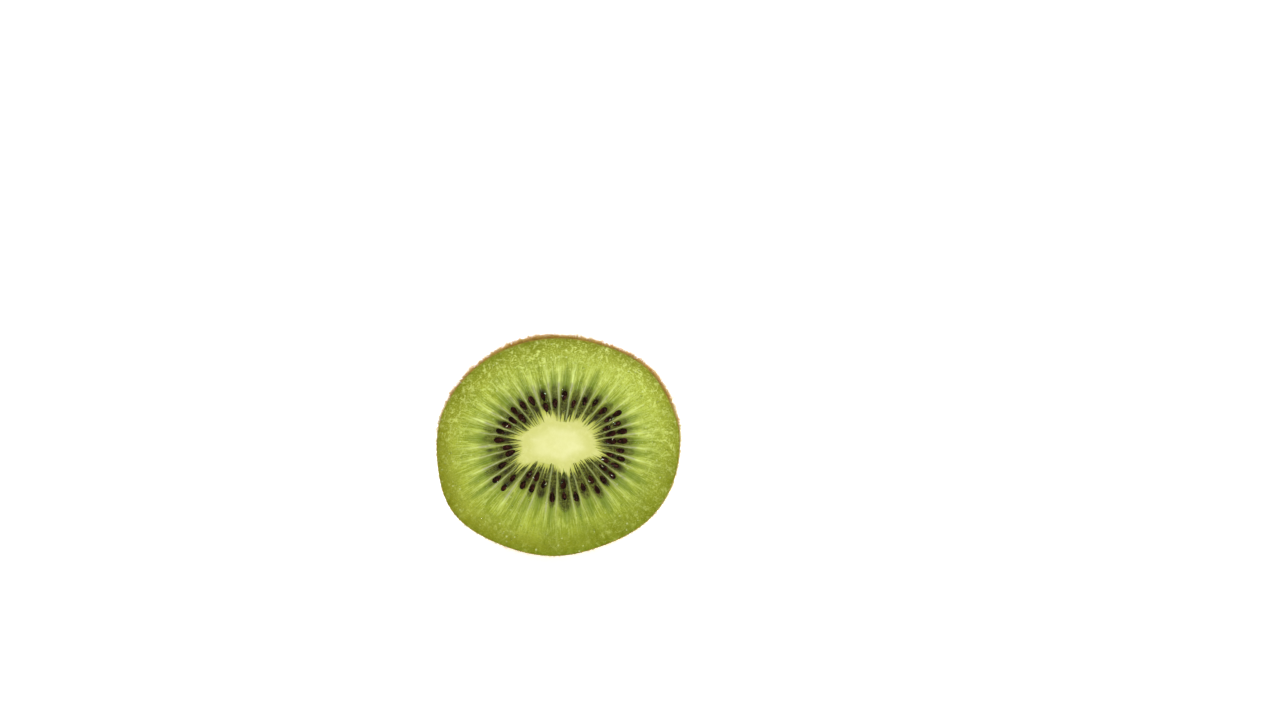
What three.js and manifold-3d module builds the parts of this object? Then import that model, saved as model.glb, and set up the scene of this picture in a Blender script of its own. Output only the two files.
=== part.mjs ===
// Half of a kiwi fruit, cut across and lying on its flank, the cut face forward and up.
// Millimetres and degrees. +Z is up, +X runs across the cut face, which looks towards -Y.
// The origin is on the surface that the half lies on, under the middle of its box.

import * as THREE from 'three';
import { mergeVertices } from 'three/addons/utils/BufferGeometryUtils.js';
import Module from 'manifold-3d';

const wasm = await Module();
wasm.setup();

// ---- The whole half ----

const FACE_WIDTH = 51;       // across the cut face, without its swellings
const FACE_HEIGHT = 46.4;    // up the cut face, without them
const HALF_LENGTH = 34.5;    // from the cut face to the shoulder of the stem end
const DOME_POWER = 2.2;      // 2 is an ellipsoid, more is blunter
const REST_TILT = 31.5;      // how far the cut face's normal stands above level
const FLAT_DEPTH = 0.4;      // how far the flank is pressed flat where it lies

// Swellings and hollows of the outline: direction on the face, reach as a share of the
// radius, and spread.
const OUTLINE_SWELLS = [
  { at: 215, reach: 0.06, spread: 15 },
  { at: 45, reach: 0.032, spread: 13 },
  { at: 167, reach: 0.013, spread: 13 },
  { at: 293, reach: -0.032, spread: 14 },
  { at: 12, reach: 0.012, spread: 8 },
];

// Slow waves of the skin: how many go round, how many run from face to tip, and height.
const SKIN_WAVES = [
  { round: 3, along: 1.0, height: 0.35, phase: 40 },
  { round: 5, along: 2.0, height: 0.18, phase: 200 },
];

// ---- The stem end ----

const STEM_HOLLOW = { depth: 2.0, radius: 5.0 };
const STEM_BUTTON = { height: 1.6, radius: 1.9 };

// ---- The cut face ----

const CORE_CENTRE = { x: 0, y: 1.0 };
const CORE_WIDTH = 16.2;
const CORE_HEIGHT = 9.4;
const CORE_SWELL = 0.15;     // how far the firm core stands above the cut

// Points of the core's star: direction, reach in millimetres along the ray, and spread.
const CORE_LOBES = [
  { at: 53, reach: 1.1, spread: 17 },
  { at: 104, reach: 1.9, spread: 7 },
  { at: 169, reach: 0.9, spread: 8 },
  { at: 217, reach: 2.6, spread: 10 },
  { at: 279, reach: 2.4, spread: 7 },
  { at: 338, reach: 1.9, spread: 8 },
];

const LOCULES = 36;          // seed pockets round the core
const LOCULE_SHIFT = 0.22;   // how unevenly they stand, as a share of their pitch
const LOCULE_DEPTH = 0.32;   // how far a pocket dips between its two walls
const LOCULE_REACH = 0.46;   // where the pockets end, from 0 at the core to 1 at the skin

// ---- The seeds ----

const SEED_LENGTH = 2.1;
const SEED_WIDTH = 1.4;
const SEED_THICKNESS = 1.15;
const SEED_TAPER = 0.24;     // how much slimmer the end that points to the core is
const SEED_SINK = 0.18;      // the seed's middle below the cut
const SEED_SMALLEST = 0.84;  // size of the smallest and the largest seed, as shares
const SEED_LARGEST = 1.14;
const SEED_RING = 0.265;     // where the seeds lie, from 0 at the core to 1 at the skin
const SEED_RING_SPREAD = 0.12;
const SEED_PAIR_STEP = 0.135; // from a seed to the second one in the same pocket
const SEED_PAIR_SHARE = 0.42; // share of the pockets with two seeds in the cut

// Where the ring of seeds lies further out or in: direction, reach and spread.
const SEED_RING_SWELLS = [
  { at: 281, reach: 0.07, spread: 12 },
  { at: 215, reach: 0.13, spread: 7 },
  { at: 192, reach: -0.09, spread: 7 },
];

// ---- How finely the surfaces are divided ----

const COLUMNS_PER_LOCULE = 4;
const COLUMNS = LOCULES * COLUMNS_PER_LOCULE;
const STEM_ROWS = [0, 0.035, 0.06, 0.09, 0.13, 0.2]; // as shares of the radius
const DOME_ROWS = 11;
const CORE_ROWS = [0, 0.6];
const FLESH_ROWS = [0, 0.07, 0.15, 0.24, 0.34, 0.46, 0.64, 0.84];
const CORE_SHARE = 0.3;      // share of the unit profile that the core takes
const SEED_SIDES = 6;
const SEED_RINGS = 4;

const FULL_TURN = 2 * Math.PI;
const radians = THREE.MathUtils.degToRad;

// A repeatable draw between 0 and 1 for the given item and use.
function draw(item, use) {
  const wave = Math.sin(item * 12.9898 + use * 78.233) * 43758.5453;
  return wave - Math.floor(wave);
}

// The sum of smooth round humps, each as high as its reach at its own direction.
function humps(angle, lobes) {
  return lobes.reduce((sum, lobe) => {
    const width = radians(lobe.spread);
    const fall = (Math.cos(angle - radians(lobe.at)) - 1) / (width * width);
    return sum + lobe.reach * Math.exp(fall);
  }, 0);
}

// ---- The skin's shape, in the fruit's own frame: cut face at z = 0, stem end at -z ----

// Section at a share of the radius and a depth: an uneven oval that turns even at the tip.
function skinPoint(angle, share, depth) {
  const uneven = 1 + humps(angle, OUTLINE_SWELLS) * share;
  const progress = depth / HALF_LENGTH;
  const waves = SKIN_WAVES.reduce((sum, wave) => {
    const round = Math.cos(wave.round * angle + radians(wave.phase));
    return sum + wave.height * round * Math.sin(Math.PI * wave.along * progress);
  }, 0);
  const radius = uneven * share;
  return new THREE.Vector3(
    (FACE_WIDTH / 2 * radius + waves * share) * Math.cos(angle),
    (FACE_HEIGHT / 2 * radius + waves * share) * Math.sin(angle),
    -depth,
  );
}

// The hollow round the stem's scar, with the dry button in its middle.
function stemRelief(distance) {
  const hollow = STEM_HOLLOW.depth * Math.exp(-((distance / STEM_HOLLOW.radius) ** 2));
  const button = STEM_BUTTON.height * Math.exp(-((distance / STEM_BUTTON.radius) ** 4));
  return hollow - button;
}

// ---- The cut face's shape: ray lines run from an oval at the core out to the skin ----

// The direction of a column: pocket walls stand unevenly, the columns between evenly.
function columnAngle(column) {
  const wall = (index) => {
    const item = ((index % LOCULES) + LOCULES) % LOCULES;
    return (index + LOCULE_SHIFT * (draw(item, 1) - 0.5) * 2) * FULL_TURN / LOCULES;
  };
  const pocket = Math.floor(column / COLUMNS_PER_LOCULE);
  const part = column / COLUMNS_PER_LOCULE - pocket;
  return wall(pocket) * (1 - part) + wall(pocket + 1) * part;
}

// A point of the face: reach 0 lies on the core's oval and 1 on the skin, -1 is the middle.
function facePoint(angle, reach) {
  const rim = skinPoint(angle, 1, 0);
  const oval = Math.min(reach, 0) + 1;
  const out = Math.max(reach, 0);
  const x = CORE_CENTRE.x + CORE_WIDTH / 2 * oval * Math.cos(angle);
  const y = CORE_CENTRE.y + CORE_HEIGHT / 2 * oval * Math.sin(angle);
  return new THREE.Vector3(x + (rim.x - x) * out, y + (rim.y - y) * out, 0);
}

// How far the face stands above or below the flat of the cut.
function faceRelief(angle, reach, across) {
  const rayLength = facePoint(angle, 1).distanceTo(facePoint(angle, 0));
  const edge = humps(angle, CORE_LOBES) / rayLength;
  if (reach <= edge) {
    return CORE_SWELL * Math.min(1, edge - reach);
  }
  const along = (reach - edge) / (LOCULE_REACH - edge);
  const pocket = along < 1 ? Math.sin(Math.PI * along ** 0.6) : 0;
  return -LOCULE_DEPTH * pocket * Math.sin(Math.PI * across) ** 0.7;
}

// ---- The body: a turned profile whose points are moved to the fruit's real shape ----

function unitProfile() {
  const points = STEM_ROWS.map((share) => {
    const depth = (1 - share ** DOME_POWER) ** (1 / DOME_POWER);
    return new THREE.Vector2(share, -depth);
  });
  const shoulder = Math.asin(Math.max(...STEM_ROWS) ** (DOME_POWER / 2));
  for (let row = 1; row < DOME_ROWS; row += 1) {
    const turn = shoulder + (Math.PI / 2 - shoulder) * (row / DOME_ROWS);
    const share = Math.sin(turn) ** (2 / DOME_POWER);
    const depth = Math.cos(turn) ** (2 / DOME_POWER);
    points.push(new THREE.Vector2(share, -depth));
  }
  points.push(new THREE.Vector2(1, 0));
  for (const reach of [...FLESH_ROWS].reverse()) {
    points.push(new THREE.Vector2(CORE_SHARE + (1 - CORE_SHARE) * reach, 0));
  }
  for (const share of [...CORE_ROWS].reverse()) {
    points.push(new THREE.Vector2(CORE_SHARE * share, 0));
  }
  return points;
}

function bodyGeometry() {
  const geometry = new THREE.LatheGeometry(unitProfile(), COLUMNS);
  const rows = unitProfile().length;
  const position = geometry.getAttribute('position');
  for (let index = 0; index < position.count; index += 1) {
    const column = Math.floor(index / rows) % COLUMNS;
    const share = Math.hypot(position.getX(index), position.getZ(index));
    const depth = -position.getY(index);
    const angle = columnAngle(column);
    const point = depth > 0
      ? domePoint(angle, share, depth)
      : cutPoint(angle, share, (column % COLUMNS_PER_LOCULE) / COLUMNS_PER_LOCULE);
    position.setXYZ(index, point.x, point.y, point.z);
  }
  return geometry;
}

function domePoint(angle, share, depth) {
  const point = skinPoint(angle, share, depth * HALF_LENGTH);
  point.z += stemRelief(Math.hypot(point.x, point.y));
  return point;
}

function cutPoint(angle, share, across) {
  if (share > 0.999) {
    return skinPoint(angle, 1, 0);
  }
  const inCore = share < CORE_SHARE;
  const reach = inCore ? share / CORE_SHARE - 1 : (share - CORE_SHARE) / (1 - CORE_SHARE);
  const point = facePoint(angle, reach);
  point.z = faceRelief(angle, reach, across);
  return point;
}

// ---- One seed: a teardrop that lies along its ray, the slim end towards the core ----

function seedGeometry(place) {
  const geometry = new THREE.SphereGeometry(1, SEED_SIDES, SEED_RINGS);
  const position = geometry.getAttribute('position');
  for (let index = 0; index < position.count; index += 1) {
    const along = position.getY(index);
    const slim = 1 - SEED_TAPER + SEED_TAPER * along;
    const across = position.getX(index) * slim;
    const up = position.getZ(index) * slim;
    position.setXYZ(
      index,
      along * SEED_LENGTH / 2 * place.size,
      -across * SEED_WIDTH / 2 * place.size,
      up * SEED_THICKNESS / 2 * place.size,
    );
  }
  geometry.rotateY(-place.nod);
  geometry.rotateZ(place.direction);
  geometry.translate(place.at.x, place.at.y, -SEED_SINK);
  return geometry;
}

// Each pocket shows one seed or two, at an uneven distance from the core.
function seedPlaces() {
  const places = [];
  for (let pocket = 0; pocket < LOCULES; pocket += 1) {
    const pair = draw(pocket, 2) < SEED_PAIR_SHARE;
    const angle = columnAngle((pocket + 0.5) * COLUMNS_PER_LOCULE);
    const ring = SEED_RING + humps(angle, SEED_RING_SWELLS);
    const first = ring + SEED_RING_SPREAD * (draw(pocket, 3) - 0.5);
    const reaches = pair
      ? [first - SEED_PAIR_STEP / 2, first + SEED_PAIR_STEP / 2]
      : [first];
    reaches.forEach((reach, order) => {
      const item = pocket + LOCULES * order;
      const inward = facePoint(angle, reach - 0.05);
      const outward = facePoint(angle, reach + 0.05);
      places.push({
        at: facePoint(angle, reach),
        direction: Math.atan2(outward.y - inward.y, outward.x - inward.x)
          + radians(16) * (draw(item, 4) - 0.5),
        nod: radians(24) * (draw(item, 5) - 0.5),
        size: SEED_SMALLEST + (SEED_LARGEST - SEED_SMALLEST) * draw(item, 6),
      });
    });
  }
  return places;
}

// ---- Joining and cutting ----

function solidFrom(geometry) {
  const bare = geometry.clone();
  bare.deleteAttribute('normal');
  bare.deleteAttribute('uv');
  const merged = mergeVertices(bare, 1e-4);
  const corners = merged.getIndex().array;
  const triangles = [];
  for (let index = 0; index < corners.length; index += 3) {
    const [a, b, c] = corners.slice(index, index + 3);
    if (a !== b && b !== c && c !== a) {
      triangles.push(a, b, c);
    }
  }
  return new wasm.Manifold(new wasm.Mesh({
    numProp: 3,
    vertProperties: new Float32Array(merged.getAttribute('position').array),
    triVerts: new Uint32Array(triangles),
  }));
}

function geometryFrom(solid) {
  const mesh = solid.getMesh();
  const geometry = new THREE.BufferGeometry();
  geometry.setAttribute('position', new THREE.BufferAttribute(mesh.vertProperties, 3));
  geometry.setIndex(new THREE.BufferAttribute(mesh.triVerts, 1));
  return geometry;
}

// Turns the half to the way it lies, and puts its lowest point on z = 0.
function laidDown(geometry) {
  geometry.rotateX(radians(90 - REST_TILT));
  geometry.computeBoundingBox();
  geometry.translate(0, 0, -geometry.boundingBox.min.z);
  return geometry;
}

function centred(geometry) {
  geometry.computeBoundingBox();
  const { min, max } = geometry.boundingBox;
  geometry.translate(-(min.x + max.x) / 2, -(min.y + max.y) / 2, -min.z);
  return geometry;
}

function kiwiGeometry() {
  const seeded = seedPlaces().reduce(
    (solid, place) => solid.add(solidFrom(seedGeometry(place))),
    solidFrom(bodyGeometry()),
  );
  const laid = laidDown(geometryFrom(seeded));
  const ground = new THREE.BoxGeometry(3 * FACE_WIDTH, 3 * FACE_WIDTH, 2 * FLAT_DEPTH);
  return centred(geometryFrom(solidFrom(laid).subtract(solidFrom(ground))));
}

const geometry = kiwiGeometry();
geometry.computeVertexNormals();

const flesh = new THREE.MeshStandardMaterial({
  color: new THREE.Color('#a9bb4c'),
  roughness: 0.4,
  metalness: 0,
  flatShading: true,
});

const half = new THREE.Mesh(geometry, flesh);
half.name = 'kiwi_half';

const group = new THREE.Group();
group.add(half);

export default group;
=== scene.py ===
"""Half a kiwi fruit lying on its flank: hairy peel, cut flesh with its core, and the seeds.

Sizes are in millimetres and angles in degrees, and every mesh is put down in metres in the
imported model's frame. A surface is first worked out in the fruit's own frame: x runs across
the cut face, y up it and z out of it, so that the stem end lies at minus HALF_LENGTH. Round
the fruit a surface is a grid of columns, and rows run from the middle of the face outwards.
"""

import bpy
import numpy as np
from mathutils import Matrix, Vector


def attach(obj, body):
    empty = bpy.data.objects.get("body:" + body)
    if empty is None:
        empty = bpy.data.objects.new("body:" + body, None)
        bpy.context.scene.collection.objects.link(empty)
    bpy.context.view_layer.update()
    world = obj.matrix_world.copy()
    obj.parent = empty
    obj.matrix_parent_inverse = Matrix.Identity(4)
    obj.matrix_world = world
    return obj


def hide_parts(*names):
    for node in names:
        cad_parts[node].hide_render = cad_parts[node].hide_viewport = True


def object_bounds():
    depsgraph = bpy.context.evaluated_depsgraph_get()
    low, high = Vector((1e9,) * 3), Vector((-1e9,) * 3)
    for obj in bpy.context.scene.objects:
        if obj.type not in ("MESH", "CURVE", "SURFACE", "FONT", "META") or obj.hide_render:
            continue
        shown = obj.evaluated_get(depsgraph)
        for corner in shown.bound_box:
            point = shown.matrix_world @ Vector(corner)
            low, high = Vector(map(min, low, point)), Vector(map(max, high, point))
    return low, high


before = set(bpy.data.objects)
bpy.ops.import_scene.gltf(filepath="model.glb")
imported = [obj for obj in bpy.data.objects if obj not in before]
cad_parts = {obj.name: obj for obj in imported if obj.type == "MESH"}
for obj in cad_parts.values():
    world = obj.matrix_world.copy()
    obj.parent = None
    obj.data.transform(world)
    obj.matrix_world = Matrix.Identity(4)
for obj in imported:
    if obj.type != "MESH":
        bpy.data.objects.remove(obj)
cad_low, cad_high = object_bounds()

MM = 0.001
FULL_TURN = 2 * np.pi
HALF_NODE = "kiwi_half"

# ---- The half's form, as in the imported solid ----

FACE_WIDTH = 51.0
FACE_HEIGHT = 46.4
HALF_LENGTH = 34.5
DOME_POWER = 2.2
REST_TILT = 31.5
OUTLINE_SWELLS = (
    (215, 0.06, 15), (45, 0.032, 13), (167, 0.013, 13), (293, -0.032, 14), (12, 0.012, 8),
)
SKIN_WAVES = ((3, 1.0, 0.35, 40), (5, 2.0, 0.18, 200))
STEM_HOLLOW_DEPTH, STEM_HOLLOW_RADIUS = 2.0, 5.0
STEM_BUTTON_HEIGHT, STEM_BUTTON_RADIUS = 1.6, 1.9

CORE_CENTRE = (0.0, 1.0)
CORE_WIDTH = 16.2
CORE_HEIGHT = 9.4
CORE_SWELL = 0.15
CORE_LOBES = (
    (53, 1.1, 17), (104, 1.9, 7), (169, 0.9, 8), (217, 2.6, 10), (279, 2.4, 7), (338, 1.9, 8),
)
LOCULES = 36
LOCULE_SHIFT = 0.22
LOCULE_DEPTH = 0.32
LOCULE_REACH = 0.46

SEED_LENGTH = 2.1
SEED_WIDTH = 1.4
SEED_THICKNESS = 1.15
SEED_TAPER = 0.24
SEED_SINK = 0.18
SEED_SMALLEST = 0.84
SEED_LARGEST = 1.14
SEED_RING = 0.265
SEED_RING_SPREAD = 0.12
SEED_PAIR_STEP = 0.135
SEED_PAIR_SHARE = 0.42
SEED_RING_SWELLS = ((281, 0.07, 12), (215, 0.13, 7), (192, -0.09, 7))

# ---- What only the finished surface has ----

PEEL_THICKNESS = 0.17
PEEL_OVERLAP = 0.07
LYING_CLEARANCE = 0.05

# ---- The view: the frame in its own pixels, and where the face stands in it ----

FRAME_WIDTH_PX = 1280
FRAME_HEIGHT_PX = 720
FACE_CENTRE_PX = (558.5, 447.9)
FACE_WIDTH_PX = 240.9
CAMERA_DISTANCE = 400.0
CAMERA_ABOVE_FACE = 5.5
CAMERA_AZIMUTH = 4.0
SENSOR_WIDTH = 36.0
NEAREST_SEEN, FARTHEST_SEEN = 0.01, 20.0
AIMING_ROUNDS = 4

# ---- The floor and the lights round the middle of the face, in metres and watts ----

FLOOR_HALF = 2.5
FLOOR_GLOW = 0.75
KEY_OFFSET, KEY_SIZE, KEY_POWER = (0.26, -0.42, 0.62), 0.16, 1.85
FILL_OFFSET, FILL_SIZE, FILL_POWER = (0.8, -0.4, 0.5), 0.9, 2.24
WALL_LIGHT, DIM_LIGHT, CEILING_LIGHT = 1.0, 0.26, 1.2


# ======== Numbers and noise ========


def draw(item, use):
    """Repeatable draws between 0 and 1: the fraction of a very fast sine of item and use."""
    wave = np.sin(np.asarray(item) * 12.9898 + use * 78.233) * 43758.5453
    return wave - np.floor(wave)


def smooth(value, start, end):
    """0 up to start, 1 from end on, and 3t^2 - 2t^3 between them."""
    t = np.clip((value - start) / (end - start), 0, 1)
    return t * t * (3 - 2 * t)


def hump(angle, at, spread):
    """exp((cos(angle - at) - 1) / spread^2): a round hump that repeats every full turn."""
    return np.exp((np.cos(angle - np.radians(at)) - 1) / np.radians(spread) ** 2)


def humps(angle, lobes):
    """The sum of (direction, height, spread) humps."""
    return sum(height * hump(angle, at, spread) for at, height, spread in lobes)


def rough(points, wavelength, seed, waves=40):
    """Smooth noise of about unit strength: a sum of cosines of random direction and phase,
    with wavelengths spread round the given one."""
    rng = np.random.default_rng(seed)
    direction = rng.normal(size=(waves, 3))
    direction /= np.linalg.norm(direction, axis=1, keepdims=True)
    pace = FULL_TURN / (wavelength * rng.uniform(0.7, 1.5, waves))
    phase = rng.uniform(0, FULL_TURN, waves)
    total = np.zeros(points.shape[:-1])
    for way, rate, start in zip(direction, pace, phase):
        total += np.cos(points @ way * rate + start)
    return total / np.sqrt(waves / 2)


def turned(first, second, angle):
    """A pair of coordinates turned by an angle in their plane."""
    cos, sin = np.cos(angle), np.sin(angle)
    return first * cos - second * sin, first * sin + second * cos


# ======== The fruit's form ========


def skin_point(angle, share, depth):
    """An uneven oval section, share of full size, at a depth: half the face's width and
    height times share, times the outline's swells, plus slow waves that run along the skin."""
    radius = (1 + humps(angle, OUTLINE_SWELLS) * share) * share
    far = np.pi * depth / HALF_LENGTH
    waves = sum(
        height * np.cos(count * angle + np.radians(phase)) * np.sin(along * far)
        for count, along, height, phase in SKIN_WAVES
    )
    x = (FACE_WIDTH / 2 * radius + waves * share) * np.cos(angle)
    y = (FACE_HEIGHT / 2 * radius + waves * share) * np.sin(angle)
    return np.stack(np.broadcast_arrays(x, y, -depth), -1)


def dome_point(angle, turn):
    """The skin from the stem end, turn 0, to the cut, turn 90 degrees: a superellipse
    profile, share = sin^(2/p) and depth = cos^(2/p), with a hollow and a button at its tip."""
    share = np.sin(turn) ** (2 / DOME_POWER)
    depth = np.cos(turn) ** (2 / DOME_POWER) * HALF_LENGTH
    point = skin_point(angle, share, depth)
    out = np.hypot(point[..., 0], point[..., 1])
    hollow = STEM_HOLLOW_DEPTH * np.exp(-((out / STEM_HOLLOW_RADIUS) ** 2))
    button = STEM_BUTTON_HEIGHT * np.exp(-((out / STEM_BUTTON_RADIUS) ** 4))
    point[..., 2] += hollow - button
    return point


def column_angle(pocket):
    """The direction of a place counted in pockets: walls stand unevenly, the rest between."""
    first = np.floor(pocket)
    part = pocket - first

    def wall(index):
        shift = LOCULE_SHIFT * (draw(index % LOCULES, 1) - 0.5) * 2
        return (index + shift) * FULL_TURN / LOCULES

    return wall(first) * (1 - part) + wall(first + 1) * part


def face_point(angle, reach):
    """Ray lines from the core's oval, reach 0, out to the skin, reach 1. Inside the core the
    oval shrinks to its centre, reach -1."""
    rim = skin_point(angle, 1.0, 0.0)
    oval = np.minimum(reach, 0) + 1
    out = np.maximum(reach, 0)
    x = CORE_CENTRE[0] + CORE_WIDTH / 2 * oval * np.cos(angle)
    y = CORE_CENTRE[1] + CORE_HEIGHT / 2 * oval * np.sin(angle)
    x, y = x + (rim[..., 0] - x) * out, y + (rim[..., 1] - y) * out
    return np.stack([x, y, np.zeros_like(x)], -1)


def ray_length(angle):
    """From the core's oval to the skin, in millimetres."""
    return np.linalg.norm(face_point(angle, 1.0) - face_point(angle, 0.0), axis=-1)


def leaned(points):
    """Turned about X, so that the face looks forward and up at the resting tilt."""
    x, y, z = np.moveaxis(points, -1, 0)
    return np.stack([x, *turned(y, z, np.radians(90 - REST_TILT))], -1)


def resting_shift():
    """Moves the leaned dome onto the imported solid: middles level in x and y, tops in z."""
    angle, turn = np.meshgrid(
        column_angle(np.arange(0, LOCULES, 0.25)), np.linspace(0.01, np.pi / 2, 60)
    )
    dome = leaned(dome_point(angle, turn)).reshape(-1, 3)
    low, high = dome.min(0), dome.max(0)
    middle = (np.array(cad_low) + np.array(cad_high)) / 2 / MM
    shift = middle - (low + high) / 2
    shift[2] = cad_high.z / MM - high[2]
    return shift


RESTING_SHIFT = resting_shift()


def laid(points, clearance=0.0):
    """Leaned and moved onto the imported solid, and pressed flat where the fruit lies."""
    points = leaned(points) + RESTING_SHIFT
    points[..., 2] = np.maximum(points[..., 2], clearance)
    return points


# ======== Meshes ========


def put_mesh(name, points, face_sets, material, fields=None):
    """A mesh from whole arrays: points in millimetres, face sets of equal-sided faces, and
    fields of numbers or vectors, kept as attributes of its points."""
    mesh = bpy.data.meshes.new(name)
    mesh.vertices.add(len(points))
    mesh.vertices.foreach_set("co", (points * MM).astype(np.float32).ravel())
    corners = np.concatenate([faces.ravel() for faces in face_sets]).astype(np.int32)
    sides = np.concatenate([np.full(len(faces), faces.shape[1]) for faces in face_sets])
    starts = np.concatenate([[0], np.cumsum(sides)[:-1]]).astype(np.int32)
    mesh.loops.add(len(corners))
    mesh.loops.foreach_set("vertex_index", corners)
    mesh.polygons.add(len(sides))
    mesh.polygons.foreach_set("loop_start", starts)
    mesh.update(calc_edges=True)
    mesh.shade_smooth()
    for label, values in (fields or {}).items():
        kind, part = ("FLOAT", "value") if values.ndim == 1 else ("FLOAT_VECTOR", "vector")
        layer = mesh.attributes.new(label, kind, "POINT")
        layer.data.foreach_set(part, values.astype(np.float32).ravel())
    mesh.materials.append(material)
    piece = bpy.data.objects.new(name, mesh)
    bpy.context.scene.collection.objects.link(piece)
    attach(piece, "root")
    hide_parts(HALF_NODE)
    return piece


def round_faces(rows, columns):
    """Faces of a closed surface whose first and last points are poles, with rows of columns
    between them. Rows run outwards and columns anticlockwise, which turns the faces out."""
    ring = np.arange(rows * columns).reshape(rows, columns) + 1
    along = np.roll(ring, -1, axis=1)
    quads = np.stack([ring[:-1], ring[1:], along[1:], along[:-1]], -1).reshape(-1, 4)
    first = np.stack([np.zeros(columns, int), ring[0], along[0]], -1)
    last = np.stack([np.full(columns, rows * columns + 1), along[-1], ring[-1]], -1)
    return [quads, first, last]


def round_points(grid):
    """The values of a rows by columns grid, with its first and last rows as poles."""
    inner = grid[1:-1].reshape(-1, *grid.shape[2:])
    return np.concatenate([grid[0, :1], inner, grid[-1, :1]])


def round_piece(name, grid, material, fields=None, clearance=0.0):
    """A closed piece from a grid whose first and last rows are poles."""
    faces = round_faces(grid.shape[0] - 2, grid.shape[1])
    fields = {label: round_points(values) for label, values in (fields or {}).items()}
    return put_mesh(name, laid(round_points(grid), clearance), faces, material, fields)


def copied_faces(face_sets, copies, points_each):
    """The same faces for many copies that follow each other in one array of points."""
    step = (np.arange(copies) * points_each)[:, None, None]
    return [(faces[None] + step).reshape(-1, faces.shape[1]) for faces in face_sets]


def unit_ball(rows, columns):
    """The x, y and z of a ball of radius 1 whose poles lie on the x axis."""
    tip = np.linspace(0, np.pi, rows)[:, None]
    around = np.arange(columns) * FULL_TURN / columns
    out = np.sin(tip)
    grid = np.broadcast_arrays(np.cos(tip), out * np.cos(around), out * np.sin(around))
    return round_points(np.stack(grid, -1)).T


def put_balls(name, points, rows, columns, material, fields=None):
    """One mesh of many balls that were bent and moved: points is an array of copies by points."""
    faces = copied_faces(round_faces(rows - 2, columns), *points.shape[:2])
    return put_mesh(name, laid(points.reshape(-1, 3)), faces, material, fields)


# ======== Materials ========


def srgb(red, green, blue):
    """A colour given in 0 to 255 as it looks on a screen, as linear numbers."""
    value = np.array([red, green, blue]) / 255
    linear = np.where(value > 0.04045, ((value + 0.055) / 1.055) ** 2.4, value / 12.92)
    return (*linear.tolist(), 1.0)


class Wiring:
    """Adds nodes to a tree. A call gives back what comes out of the nodes that it adds."""

    def __init__(self, tree):
        self.tree = tree

    def plug(self, socket, value):
        if isinstance(value, bpy.types.NodeSocket):
            self.tree.links.new(value, socket)
        else:
            socket.default_value = value

    def fill(self, node, **sockets):
        """Plugs values into a node's sockets, whose names have _ for each space."""
        for key, value in sockets.items():
            self.plug(node.inputs[key.replace("_", " ")], value)

    def node(self, kind, inputs=None, **settings):
        made = self.tree.nodes.new(kind)
        for key, value in settings.items():
            setattr(made, key, value)
        for key, value in (inputs or {}).items():
            self.plug(made.inputs[key], value)
        return made

    def math(self, operation, first, second=0.0, clamp=False):
        inputs = {0: first, 1: second}
        return self.node("ShaderNodeMath", inputs, operation=operation, use_clamp=clamp).outputs[0]

    def times(self, first, *others):
        for other in others:
            first = self.math("MULTIPLY", first, other)
        return first

    def one_minus(self, value, clamp=False):
        return self.math("SUBTRACT", 1.0, value, clamp)

    def scaled(self, vector, by):
        inputs = {0: vector, 1: by}
        return self.node("ShaderNodeVectorMath", inputs, operation="MULTIPLY").outputs[0]

    def step(self, value, start, end, low=0.0, high=1.0):
        """Goes smoothly from low, where the value is start, to high, where it is end."""
        inputs = {"Value": value, "From Min": start, "From Max": end, "To Min": low, "To Max": high}
        made = self.node("ShaderNodeMapRange", inputs, interpolation_type="SMOOTHSTEP")
        return made.outputs["Result"]

    def mix(self, factor, first, second):
        inputs = {0: factor, 6: first, 7: second}
        return self.node("ShaderNodeMix", inputs, data_type="RGBA").outputs[2]

    def blend(self, value, start, end, first, second):
        """A step between two screen colours."""
        return self.mix(self.step(value, start, end), srgb(*first), srgb(*second))

    def layered(self, base, coats):
        """Lays screen colours over a base, one by one, each as thick as its mask."""
        for mask, colour in coats:
            base = self.mix(mask, base, srgb(*colour))
        return base

    def attribute(self, name, output="Fac"):
        return self.node("ShaderNodeAttribute", attribute_name=name).outputs[output]

    def noise(self, vector, scale, detail=2.0, roughness=0.5, distortion=0.0):
        inputs = {
            "Vector": vector, "Scale": scale, "Detail": detail,
            "Roughness": roughness, "Distortion": distortion,
        }
        return self.node("ShaderNodeTexNoise", inputs).outputs["Fac"]

    def cells(self, vector, scale):
        return self.node("ShaderNodeTexVoronoi", {"Vector": vector, "Scale": scale}).outputs

    def object_place(self):
        return self.node("ShaderNodeTexCoord").outputs["Object"]


def new_group(name, inputs, outputs):
    """An empty node group. inputs and outputs are (name, kind) pairs, inputs with a default."""
    group = bpy.data.node_groups.new(name, "ShaderNodeTree")
    for label, kind, default in inputs:
        socket = group.interface.new_socket(label, in_out="INPUT", socket_type=kind)
        if default is not None:
            socket.default_value = default
    for label, kind in outputs:
        group.interface.new_socket(label, in_out="OUTPUT", socket_type=kind)
    wiring = Wiring(group)
    given = wiring.node("NodeGroupInput").outputs
    return group, wiring, given, wiring.node("NodeGroupOutput")


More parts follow.
